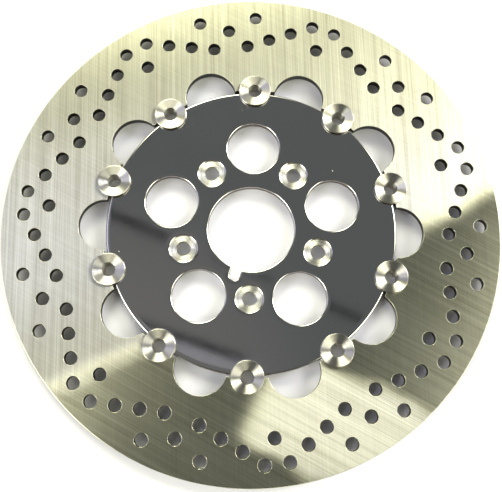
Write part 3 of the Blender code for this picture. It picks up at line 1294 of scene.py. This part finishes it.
@dataclass
class BrakeRing:
    """The ground outer ring: lugs, windows, half-round seats and drilled holes."""

    heights: Heights
    seats: Array
    outer_radius: float = 0.146
    inner_radius: float = 0.0866
    window_radius: float = 0.0151
    window_circle: float = 0.086
    seat_radius: float = 0.0073
    drill_radius: float = 0.00388
    drill_groups: int = 7
    first_group: float = 72.0
    sloping_row: tuple[tuple[float, float], ...] = (
        (0.1338, 3.03),
        (0.1265, 8.33),
        (0.1205, 14.19),
        (0.1158, 20.61),
    )
    outer_pair: tuple[float, float] = (0.1345, 7.39)
    peak_hole: float = 0.1198
    between_hole: float = 0.1266
    rim_spacing: float = 0.0013
    edge_spacing: float = 0.0005
    drill_spacing: float = 0.00055
    row_shares: tuple[float, ...] = (0.0, 0.293, 1.0, 2.2)
    edge_break: Softening = Softening(0.00022)
    rim_break: Softening = Softening(0.00035)
    rim_finish: CutSteel = CutSteel("turned_rim", (0.52, 0.50, 0.45), 0.36)

    def drill_places(self) -> Array:
        """Give the centres of the drilled holes.

        Each group mirrors a sloping row and an outer hole about its middle line, and has a single
        hole inside the rows' peak and another between the groups.

        Returns:
            A (n, 2) array.
        """
        between = 180.0 / self.drill_groups
        outer, back = self.outer_pair
        pairs = np.array([*self.sloping_row, (outer, between - back)])
        singles = np.array([(self.peak_hole, 0.0), (self.between_hole, between)])
        half = np.concatenate([pairs, pairs * [1.0, -1.0], singles])
        middle = self.first_group + 360.0 * np.arange(self.drill_groups) / self.drill_groups
        return polar(half[:, 0], middle[:, None] + half[:, 1]).reshape(-1, 2)

    def build(self) -> bpy.types.Object:
        """Build the ring: front and back faces between the same outlines, and their walls.

        Returns:
            The piece.
        """
        edges = Edges()
        centre = np.zeros((1, 2))
        rim = edges.add(centre, self.outer_radius, self.rim_break, Side.INSIDE)
        inner = edges.add(centre, self.inner_radius, self.edge_break)
        middles = around(self.window_circle, len(self.seats), 360.0 / len(self.seats))
        windows = edges.add(middles, self.window_radius, self.edge_break)
        seats = edges.add(self.seats, self.seat_radius, self.edge_break)
        drilled = edges.add(self.drill_places(), self.drill_radius, self.edge_break)
        lugs = inner + windows + seats
        spacing = dict.fromkeys(rim, self.rim_spacing)
        spacing |= dict.fromkeys(lugs, self.edge_spacing)
        spacing |= dict.fromkeys(drilled, self.drill_spacing)
        levels = [np.array(self.row_shares) * soft.rounding for soft in edges.softening]
        outlines = [edges.outline(rim, self.rim_spacing), edges.outline(lugs, self.edge_spacing)]
        outlines += [edges.loop(number, 0.0, self.drill_spacing) for number in drilled]
        front = Face(edges, outlines, spacing, levels, self.heights.ring_front)
        back = replace(front, height=self.heights.plate_back)
        shell = Shell()
        add_face(shell, front, up=True)
        add_face(shell, back, up=False)
        for number, outline in enumerate(outlines):
            add_wall(shell, front, back, outline, slot=1 if number else 2, hole=number > 0)
        # The cut walls' near-black colour is partly dark scale and partly painted shade.
        finish = [GroundSteel().make(), CutSteel().make(), self.rim_finish.make()]
        return shell.to_object("ground_ring", finish)

    def dress(self, piece: bpy.types.Object) -> None:
        """Fasten the ring to its body in place of its CAD node."""
        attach(piece, "ring_body")
        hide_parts("brake_ring")


@dataclass
class Carrier:
    """The mirror-polished inner plate, whose faces roll away softly towards every edge."""

    heights: Heights
    seats: Array
    outer_radius: float = 0.0852
    seat_radius: float = 0.0073
    bore_radius: float = 0.0254
    bolt_circle: float = 0.041275
    bolt_count: int = 5
    first_bolt: float = 270.0
    bolt_hole_radius: float = 0.0041
    bolt_seat_radius: float = 0.0078
    bolt_seat_depth: float = 0.0008
    lightening_circle: float = 0.0498
    lightening_radius: float = 0.0155
    relief_angle: float = 252.0
    relief_end: float = 0.029
    relief_half_width: float = 0.0031
    relief_start_share: float = 0.8
    fillet: float = 0.0001
    hole_break: float = 0.00025
    back_break: float = 0.0004
    rim_rounding: float = 0.0011
    hole_rounding: float = 0.0006
    roll_depth: float = 0.00007
    rim_roll: float = 0.0032
    hole_roll: float = 0.0027
    bolt_roll: float = 0.003
    least_roll_share: float = 1.3
    arc_rows: int = 4
    roll_rows: int = 8
    corner_steps: int = 3
    loop_steps: int = 96
    spacing: float = 0.0008
    fine_spacing: float = 0.0005
    # The carrier's walls in a dark brown, far darker than its polished faces.
    wall_finish: CutSteel = CutSteel("dark_brown_wall", (0.15, 0.11, 0.09), 0.3)

    def bolts(self) -> Array:
        """Give the centres of the bolt holes."""
        return around(self.bolt_circle, self.bolt_count, self.first_bolt)

    def softenings(self, front: bool) -> tuple[Softening, Softening, Softening]:
        """Give how a face falls away at the rim, at the large holes and at the bolts.

        Args:
            front: True for the front face.

        Returns:
            The three softenings.
        """
        if not front:
            plain = Softening(self.back_break)
            return plain, plain, Softening(self.hole_break)
        return (
            Softening(self.rim_rounding, self.roll_depth, self.rim_roll),
            Softening(self.hole_rounding, self.roll_depth, self.hole_roll),
            Softening(self.bolt_seat_depth - self.fillet, self.roll_depth, self.bolt_roll),
        )

    def rows(self, soft: Softening, front: bool) -> Array:
        """Give how far into the metal rows of points follow an edge.

        They are even steps of angle over the rounding, and even distances over the roll.

        Args:
            soft: How the face falls away there.
            front: True for the front face; the back has no roll.

        Returns:
            The distances.
        """
        angle = np.radians(np.linspace(0.0, 90.0, self.arc_rows + 1))
        end = max(soft.roll_width, soft.rounding * self.least_roll_share)
        roll = np.linspace(soft.rounding, end, self.roll_rows + 1)[1:]
        return np.concatenate([soft.rounding * (1.0 - np.cos(angle)), roll if front else roll[:1]])

    def face(self, front: bool) -> Face:
        """Lay out the front or the back face, with the bolts' outlines last.

        Args:
            front: True for the front face, where the bolt holes have spot faces.

        Returns:
            The face.
        """
        rim_soft, hole_soft, bolt_soft = self.softenings(front)
        bolt_radius = self.bolt_seat_radius if front else self.bolt_hole_radius
        bolt_spacing = 2.0 * np.pi * bolt_radius / self.loop_steps
        relief_start, relief_end = (
            polar(radius, np.array([self.relief_angle]))
            for radius in (self.bore_radius * self.relief_start_share, self.relief_end)
        )
        edges = Edges()
        centre = np.zeros((1, 2))
        rim = edges.add(centre, self.outer_radius, rim_soft, Side.INSIDE)
        seats = edges.add(self.seats, self.seat_radius, rim_soft)
        bore = edges.add(centre, self.bore_radius, hole_soft)
        relief = edges.add(relief_start, self.relief_half_width, hole_soft, ends=relief_end)
        places = around(self.lightening_circle, self.bolt_count, self.first_bolt + 180.0)
        holes = edges.add(places, self.lightening_radius, hole_soft)
        bolts = edges.add(self.bolts(), bolt_radius, bolt_soft)
        spacing = dict.fromkeys(rim, self.spacing)
        spacing |= dict.fromkeys(seats + bore + relief, self.fine_spacing)
        spacing |= dict.fromkeys(holes, self.spacing)
        spacing |= dict.fromkeys(bolts, bolt_spacing)
        levels = [self.rows(soft, front) for soft in edges.softening]
        joined = (rim + seats, bore + relief)
        outlines = [edges.outline(numbers, self.fine_spacing) for numbers in joined]
        outlines += [edges.loop(number, 0.0, spacing[number]) for number in holes + bolts]
        height = self.heights.carrier_front if front else self.heights.plate_back
        return Face(edges, outlines, spacing, levels, height)

    def bolt_seat(self, shell: Shell, centre: Array, top_drop: float) -> None:
        """Add the spot face, the bolt hole's broken edge and its wall.

        Args:
            shell: The carrier's shell.
            centre: (x, y) of the hole.
            top_drop: How far below the flat face the seat's wall starts.
        """
        front = self.heights.carrier_front
        floor = front - top_drop - self.fillet
        back = self.heights.plate_back + self.hole_break
        quarter = np.linspace(0.0, 1.0, self.corner_steps + 1)[:, None] * np.pi / 2.0
        inward = np.hstack([-np.cos(quarter), np.sin(quarter)])
        corner = np.array([self.bolt_seat_radius - self.fillet, floor + self.fillet])
        hollow = corner - inward * self.fillet
        edge = np.array([self.bolt_hole_radius + self.hole_break, floor - self.hole_break])
        outward = np.hstack([-np.sin(quarter), np.cos(quarter)])
        broken = edge + outward * self.hole_break
        section = np.vstack([hollow, broken, [[self.bolt_hole_radius, back]]])
        facing = np.vstack([inward, outward, [[-1.0, 0.0]]])
        turn = 2.0 * np.pi * np.arange(self.loop_steps) / self.loop_steps
        spokes = np.stack([np.cos(turn), np.sin(turn)], axis=-1)
        arms = swept_round(section, spokes)
        points = arms + [*centre, 0.0]
        normals = swept_round(facing, spokes)
        quads = closed_grid(len(section), len(turn))[: -len(turn), ::-1]
        arms = arms * [1.0, 1.0, 0.0] / MILLIMETRE
        shell.add(points.reshape(-1, 3), normals.reshape(-1, 3), quads, 1, arms.reshape(-1, 3))

    def build(self) -> bpy.types.Object:
        """Build the carrier.

        Returns:
            The piece.
        """
        shell = Shell()
        front, back = self.face(front=True), self.face(front=False)
        add_face(shell, front, up=True)
        add_face(shell, back, up=False)
        plain = len(front.outlines) - self.bolt_count
        for number, outline in enumerate(front.outlines[:plain]):
            add_wall(shell, front, back, outline, slot=2, hole=number > 0)
        top_drop = front.edges.surface(front.outlines[plain])[0][0]
        for centre in self.bolts():
            self.bolt_seat(shell, centre, top_drop)
        finish = [MirrorPolish().make(), SpotFace().make(), self.wall_finish.make()]
        return shell.to_object("polished_carrier", finish)

    def dress(self, piece: bpy.types.Object) -> None:
        """Fasten the carrier to its body in place of its CAD node."""
        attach(piece, "carrier_body")
        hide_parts("carrier")


@dataclass(frozen=True)
class Softbox:
    """A round soft light far away, given by the direction that it shines from.

    Attributes:
        slope_x: Sideways part of its direction for one part upwards.
        slope_y: Lengthways part of its direction for one part upwards.
        radius: Half of its width as seen from the disc, in degrees.
        softness: Width of its fading edge, in degrees.
        colour: Its colour.
        strength: Its brightness.
    """

    slope_x: float
    slope_y: float
    radius: float
    softness: float
    colour: Colour
    strength: float

    def direction(self) -> Vector:
        """Give the unit direction towards the light."""
        return Vector((self.slope_x, self.slope_y, 1.0)).normalized()


@dataclass(frozen=True)
class Rail:
    """A straight rail under the ceiling, as seen from the disc by its slopes.

    Attributes:
        offset: Lengthways slope of the rail's middle at no sideways slope.
        tilt: Change of that slope for one part sideways.
        width: Half of its width.
        low_x: Sideways slope at its left end.
        high_x: Sideways slope at its right end.
        shade: Its brightness.
    """

    offset: float
    tilt: float
    width: float
    low_x: float
    high_x: float
    shade: float


@dataclass
class Studio:
    """A pale floor, a dim ceiling with soft lights around it, and the camera.

    Attributes:
        floor_size: Length of the floor's sides.
        floor_drop: How far it lies below the buttons' ends.
        floor_colour: Its colour.
        floor_roughness: Its roughness.
        ceiling: Colour of the ceiling overhead.
        horizon: Colour near the horizon.
        horizon_low: Brightness of the horizon at the room's dark sides.
        horizon_high: Brightness at its bright sides.
        horizon_turn: Direction of the bright sides, in degrees.
        horizon_power: How narrow they are.
        horizon_range: Upward part of a direction where the horizon starts and is full.
        warm: Tint of most of the room.
        cool: Tint of the strip between two slopes.
        neutral: Tint overhead.
        cool_tilt: Tilt of the strip.
        cool_low: Slope of its lower side.
        cool_high: Slope of its upper side.
        cool_low_fade: Half of the lower side's fading width.
        cool_high_fade: Half of the upper side's fading width.
        overhead: Upward part of a direction where the neutral tint starts and is full.
        least_upward: Least upward part that slopes are worked out for.
        rail_core: Share of a rail's width that is full.
        rail_fade: Half of the length over which a rail's end fades.
        rail_tint: Colour of a rail of shade 1.
        sensor: Width of the camera's sensor, in millimetres.
        lens: Its focal length, in millimetres.
        camera_place: Where it stands.
        camera_right: Its direction to the right.
        camera_up: Its upward direction.
    """

    floor_size: float = 4.0
    floor_drop: float = 0.0001
    floor_colour: Colour = (0.63, 0.63, 0.70)
    floor_roughness: float = 0.6
    ceiling: Colour = (0.152, 0.164, 0.167)
    horizon: Colour = (0.97, 0.97, 1.0)
    horizon_low: float = 0.3
    horizon_high: float = 2.4
    horizon_turn: float = 30.0
    horizon_power: float = 4.0
    horizon_range: tuple[float, float] = (0.6, 0.25)
    warm: Colour = (1.03, 1.02, 0.81)
    cool: Colour = (0.95, 0.955, 1.17)
    neutral: Colour = (1.0, 1.0, 1.0)
    cool_tilt: float = 0.25
    cool_low: float = 0.23
    cool_high: float = 0.44
    cool_low_fade: float = 0.02
    cool_high_fade: float = 0.015
    overhead: tuple[float, float] = (0.87, 0.9)
    least_upward: float = 0.01
    rail_core: float = 0.6
    rail_fade: float = 0.006
    rail_tint: Colour = (1.0, 1.0, 1.1)
    sensor: float = 36.0
    lens: float = 55.04
    camera_place: tuple[float, float, float] = (0.0001, -0.1054, 0.4464)
    camera_right: tuple[float, float, float] = (0.99964, 0.02625, 0.00592)
    camera_up: tuple[float, float, float] = (-0.02660, 0.97690, 0.21252)
    lights: tuple[Softbox, ...] = (
        Softbox(-0.2, 0.0, 10.0, 9.0, (1.0, 1.0, 1.0), 0.23),
        Softbox(1.39, 0.8, 14.0, 6.0, (1.0, 1.0, 1.03), 18.0),
        Softbox(-0.26, 0.97, 12.0, 8.0, (1.0, 1.0, 0.95), 16.0),
        Softbox(-1.39, -0.8, 14.0, 6.0, (1.0, 1.0, 1.05), 14.0),
        Softbox(-0.72, -0.22, 8.0, 5.0, (0.95, 0.95, 1.3), 2.6),
        Softbox(-0.47, 0.22, 8.0, 5.0, (0.95, 0.95, 1.3), 2.4),
        Softbox(1.1, -0.5, 18.0, 8.0, (1.0, 1.0, 1.0), 7.0),
        Softbox(0.0, -2.4, 30.0, 10.0, (1.0, 0.8, 0.65), 0.12),
    )
    rails: tuple[Rail, ...] = (
        Rail(0.183, -0.386, 0.0085, -0.22, -0.11, 0.035),
        Rail(0.183, -0.386, 0.004, -0.05, 0.03, 0.03),
        Rail(0.180, -0.386, 0.007, 0.09, 0.15, 0.035),
        Rail(0.052, -0.31, 0.012, -0.16, 0.01, 0.42),
        Rail(0.066, -0.31, 0.007, -0.15, 0.0, 0.02),
    )

    def build(self) -> None:
        """Put the floor, the surroundings and the camera in the scene."""
        self.floor()
        self.room()
        self.camera()

    def floor(self) -> None:
        """Lay the floor under the buttons' ends."""
        half = self.floor_size / 2.0
        corners = np.array([(-half, -half), (half, -half), (half, half), (-half, half)])
        mesh = bpy.data.meshes.new("floor")
        points = np.column_stack([corners, np.full(len(corners), -self.floor_drop)])
        mesh.from_pydata(points.tolist(), [], [(0, 1, 2, 3)])
        graph = Graph(bpy.data.materials.new("floor"))
        graph.set(Base_Color=(*self.floor_colour, 1.0), Roughness=self.floor_roughness)
        piece_from(mesh, "floor", [graph.owner])

    def room(self) -> None:
        """Make the surroundings: a ceiling, the horizon, lights and rails, tinted warm and cool."""
        graph = Graph(bpy.data.worlds.new("room"), "Background")
        way = graph.add("TexCoord").outputs["Generated"]
        spot = graph.add("SeparateXYZ", {0: way}).outputs
        upward = graph.math("MAXIMUM", spot[2], self.least_upward)
        slope_x = graph.math("DIVIDE", spot[0], upward)
        slope_y = graph.math("DIVIDE", spot[1], upward)
        light = self.lit(graph, way, self.backdrop(graph, way, spot[2]))
        light = self.railed(graph, slope_x, slope_y, light)
        level = graph.math("MULTIPLY_ADD", slope_x, -self.cool_tilt, slope_y)
        start, end = self.cool_low - self.cool_low_fade, self.cool_low + self.cool_low_fade
        above = graph.step(level, start, end)
        start, end = self.cool_high + self.cool_high_fade, self.cool_high - self.cool_high_fade
        strip = graph.math("MULTIPLY", above, graph.step(level, start, end))
        sides = graph.tint(strip, self.warm, self.cool)
        cast = graph.tint(graph.step(spot[2], *self.overhead), sides, self.neutral)
        graph.set(Color=graph.vector("MULTIPLY", light, cast)[0])
        bpy.context.scene.world = graph.owner

    def backdrop(
        self, graph: Graph, way: bpy.types.NodeSocket, upward: bpy.types.NodeSocket
    ) -> bpy.types.NodeSocket:
        """Give the ceiling's light, which brightens to the horizon at two opposite sides.

        Args:
            graph: The room's graph.
            way: The direction looked in.
            upward: Its upward part.

        Returns:
            The light's colour.
        """
        side = (*polar(1.0, self.horizon_turn), 0.0)
        lengthwise = graph.vector("DOT_PRODUCT", way, side)["Value"]
        sides = graph.math("POWER", graph.math("ABSOLUTE", lengthwise), self.horizon_power)
        dim = tuple(self.horizon_low * part for part in self.horizon)
        bright = tuple(self.horizon_high * part for part in self.horizon)
        low = graph.step(upward, *self.horizon_range)
        return graph.tint(low, self.ceiling, graph.tint(sides, dim, bright))

    def lit(
        self, graph: Graph, way: bpy.types.NodeSocket, light: bpy.types.NodeSocket
    ) -> bpy.types.NodeSocket:
        """Lay the soft lights over the backdrop, each where the direction is close to its own.

        Args:
            graph: The room's graph.
            way: The direction looked in.
            light: The backdrop's colour.

        Returns:
            The colour with the lights.
        """
        for box in self.lights:
            facing = graph.vector("DOT_PRODUCT", way, box.direction())["Value"]
            outer = np.cos(np.radians(box.radius + box.softness))
            inner = np.cos(np.radians(max(box.radius - box.softness, 0.0)))
            glow = tuple(box.strength * part for part in box.colour)
            light = graph.tint(graph.step(facing, outer, inner), light, glow)
        return light

    def railed(
        self,
        graph: Graph,
        slope_x: bpy.types.NodeSocket,
        slope_y: bpy.types.NodeSocket,
        light: bpy.types.NodeSocket,
    ) -> bpy.types.NodeSocket:
        """Lay the rails over the lights: a range of slopes across each, times one along it.

        Args:
            graph: The room's graph.
            slope_x: Sideways slope of the direction.
            slope_y: Lengthways slope of the direction.
            light: The colour so far.

        Returns:
            The colour with the rails.
        """
        fade = self.rail_fade
        for rail in self.rails:
            middle = graph.math("MULTIPLY_ADD", slope_x, rail.tilt, rail.offset)
            away = graph.math("ABSOLUTE", graph.math("SUBTRACT", slope_y, middle))
            across = graph.step(away, rail.width, rail.width * self.rail_core)
            start = graph.step(slope_x, rail.low_x - fade, rail.low_x + fade)
            end = graph.step(slope_x, rail.high_x + fade, rail.high_x - fade)
            share = graph.math("MULTIPLY", across, graph.math("MULTIPLY", start, end))
            shade = tuple(rail.shade * part for part in self.rail_tint)
            light = graph.tint(share, light, shade)
        return light

    def camera(self) -> None:
        """Set the camera above the disc's lower half, looking a little up the disc."""
        camera = bpy.data.cameras.new("camera")
        camera.sensor_width = self.sensor
        camera.lens = self.lens
        right, up = Vector(self.camera_right), Vector(self.camera_up)
        turn = Matrix((right, up, right.cross(up))).transposed().to_4x4()
        viewer = bpy.data.objects.new("camera", camera)
        viewer.matrix_world = Matrix.Translation(self.camera_place) @ turn
        bpy.context.scene.collection.objects.link(viewer)
        bpy.context.scene.camera = viewer


@dataclass
class ButtonSet:
    """One turned button with its wave spring, washer and circlip."""

    number: int
    heights: Heights
    finishes: dict[Slot, bpy.types.Material]
    flange_radius: float = 0.0096
    shank_radius: float = 0.007
    hole_radius: float = 0.004
    groove_radius: float = 0.0063
    dish_depth: float = 0.0009
    lip_width: float = 0.00055
    edge_round: float = 0.00025
    under_round: float = 0.00012
    root_round: float = 0.0001
    groove_round: float = 0.00006
    dish_round: float = 0.00018
    lip_round: float = 0.0002
    spring_inner: float = 0.0074
    spring_outer: float = 0.0093
    spring_band: float = 0.00035
    spring_waves: int = 3
    spring_keep: float = 0.75
    spring_round: float = 0.00008
    spring_steps: int = 120
    washer_inner: float = 0.0073
    washer_outer: float = 0.0095
    washer_rounds: tuple[float, ...] = (0.0002, 0.00012, 0.00012, 0.0002)
    clip_inner: float = 0.0066
    clip_tip: float = 0.0078
    clip_back: float = 0.0084
    clip_ear: float = 0.0091
    clip_gap_angle: float = 14.0
    clip_ear_angle: float = 16.0
    clip_ear_slope: float = 4.0
    clip_turn: float = 36.0
    clip_steps: int = 250
    clip_sharp_angle: float = 40.0
    clip_round: float = 0.00006
    band_steps: int = 3

    def node(self, slot: Slot) -> str:
        """Give the name of this set's CAD node in a slot."""
        return f"{slot.value}_{self.number:02d}"

    def axis(self) -> Array:
        """Give (x, y) of the set's axis."""
        return node_centre(self.node(Slot.BUTTON))[:2]

    def span(self, slot: Slot) -> tuple[float, float]:
        """Give the heights between which this set's CAD node in a slot lies."""
        low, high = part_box(self.node(slot))
        return low[2], high[2]

    def button(self) -> bpy.types.Object:
        """Turn the button: flange with a dished face, shank, circlip groove and through hole."""
        top, low = self.heights.button_top, self.heights.flange_low
        groove_low, groove_high = self.heights.groove_low, self.heights.groove_high
        rows = np.array(
            [
                (self.flange_radius, top, self.edge_round),
                (self.flange_radius, low, self.under_round),
                (self.shank_radius, low, self.root_round),
                (self.shank_radius, groove_high, self.groove_round),
                (self.groove_radius, groove_high, self.groove_round),
                (self.groove_radius, groove_low, self.groove_round),
                (self.shank_radius, groove_low, self.groove_round),
                (self.shank_radius, 0.0, self.edge_round),
                (self.hole_radius, 0.0, self.edge_round),
                (self.hole_radius, top - self.dish_depth, self.dish_round),
                (self.flange_radius - self.lip_width, top, self.lip_round),
            ]
        )
        name = f"turned_button_{self.number:02d}"
        profile = Profile(rows[:, :2], rows[:, 2])
        return turned_piece(name, profile, self.axis(), self.finishes[Slot.BUTTON])

    def spring(self) -> bpy.types.Object:
        """Form the wave spring: a flat band whose height swings three times a turn."""
        low, high = self.span(Slot.SPRING)
        middle, half = (low + high) / 2.0, self.spring_band / 2.0
        swing = (high - low) / 2.0 - half
        radii = (self.spring_inner, self.spring_outer)
        heights = (middle - half, middle + half)
        profile = flat_band(radii, heights, self.spring_round, self.band_steps)
        name = f"waved_spring_{self.number:02d}"
        finish = self.finishes[Slot.SPRING]
        wave = (self.spring_steps, swing, self.spring_waves)
        piece = turned_piece(name, profile, self.axis(), finish, *wave)
        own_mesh(piece)
        return piece

    def washer(self) -> bpy.types.Object:
        """Turn the flat washer."""
        radii = (self.washer_inner, self.washer_outer)
        profile = flat_band(radii, self.span(Slot.WASHER), np.array(self.washer_rounds))
        name = f"flat_washer_{self.number:02d}"
        return turned_piece(name, profile, self.axis(), self.finishes[Slot.WASHER])

    def clip_reach(self, angle: Array) -> Array:
        """Give the circlip's outer radius.

        The band swells from its tips to its back with the sine of the way along it, and rises
        smoothly to the ears over the last degrees before them.

        Args:
            angle: Degrees round the clip from the middle of its gap.

        Returns:
            The radius at each angle.
        """
        from_end = np.minimum(angle, 360.0 - angle) - self.clip_gap_angle
        ends = self.clip_gap_angle + self.clip_ear_angle
        along = np.clip((angle - ends) / (360.0 - 2.0 * ends), 0.0, 1.0)
        band = self.clip_tip + (self.clip_back - self.clip_tip) * np.sin(np.pi * along)
        rise = np.clip((self.clip_ear_angle - from_end) / self.clip_ear_slope, 0.0, 1.0)
        return band + rise**2 * (3.0 - 2.0 * rise) * (self.clip_ear - band)

    def circlip(self) -> bpy.types.Object:
        """Cut the circlip: an open ring, widest opposite its gap, with an ear at each end.

        A rounded rectangle is swept round the button, and its outer side follows the reach.

        Returns:
            The piece, at the origin.
        """
        radii = (self.clip_inner, self.clip_tip)
        band = flat_band(radii, self.span(Slot.CIRCLIP), self.clip_round, self.band_steps)
        section = band.points_and_normals()[0]
        angle = np.linspace(self.clip_gap_angle, 360.0 - self.clip_gap_angle, self.clip_steps)
        outer = section[:, :1] > (self.clip_inner + self.clip_tip) / 2.0
        radius = section[:, :1] + outer * (self.clip_reach(angle) - self.clip_tip)
        places = self.axis() + polar(radius, angle + self.clip_turn * (self.number - 1))
        heights = np.broadcast_to(section[:, 1:, None], (*radius.shape, 1))
        points = np.concatenate([places, heights], axis=-1).reshape(-1, 3)
        quads = closed_grid(*radius.shape).reshape(*radius.shape, 4)[:, :-1].reshape(-1, 4)
        first = np.arange(len(section)) * self.clip_steps
        ends = [first[::-1].tolist(), (first + self.clip_steps - 1).tolist()]
        mesh = bpy.data.meshes.new("circlip")
        mesh.from_pydata(points.tolist(), [], quads.tolist() + ends)
        mesh.shade_smooth()
        mesh.set_sharp_from_angle(angle=np.radians(self.clip_sharp_angle))
        return piece_from(mesh, f"snap_ring_{self.number:02d}", [self.finishes[Slot.CIRCLIP]])

    def build(self) -> None:
        """Build the set's pieces and fasten them to its body."""
        body = f"button_set_{self.number:02d}"
        made = {
            Slot.BUTTON: self.button(),
            Slot.SPRING: self.spring(),
            Slot.WASHER: self.washer(),
            Slot.CIRCLIP: self.circlip(),
        }
        for slot, piece in made.items():
            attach(piece, body)
            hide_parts(self.node(slot))
        log.info("button set %02d built", self.number)


def small_finishes() -> dict[Slot, bpy.types.Material]:
    """Make the finishes that the button sets share.

    Returns:
        A material for each slot.
    """
    finishes = {
        Slot.BUTTON: TurnedMetal(),
        Slot.SPRING: Treated("tempered_spring", (0.30, 0.25, 0.19), (0.48, 0.45, 0.40), 0.34),
        Slot.WASHER: TurnedMetal("plated_washer", (0.66, 0.66, 0.67), (0.55, 0.55, 0.56), 0.33),
        Slot.CIRCLIP: Treated("phosphated_clip", (0.035, 0.035, 0.038), (0.2, 0.19, 0.18), 0.5),
    }
    return {slot: finish.make() for slot, finish in finishes.items()}


def main() -> None:
    """Build the studio and every piece of the disc."""
    logging.basicConfig(level=logging.INFO, format="%(name)s: %(message)s")
    Studio().build()
    heights = Heights.from_frame()
    count = sum(name.startswith("button_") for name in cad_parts)
    seats = np.array([node_centre(f"button_{number:02d}")[:2] for number in range(1, count + 1)])
    ring = BrakeRing(heights, seats)
    ring.dress(ring.build())
    log.info("ring built")
    carrier = Carrier(heights, seats)
    carrier.dress(carrier.build())
    log.info("carrier built")
    finishes = small_finishes()
    for number in range(1, count + 1):
        ButtonSet(number, heights, finishes).build()
    bpy.context.scene.view_settings.view_transform = "Standard"


if __name__ == "__main__":
    main()
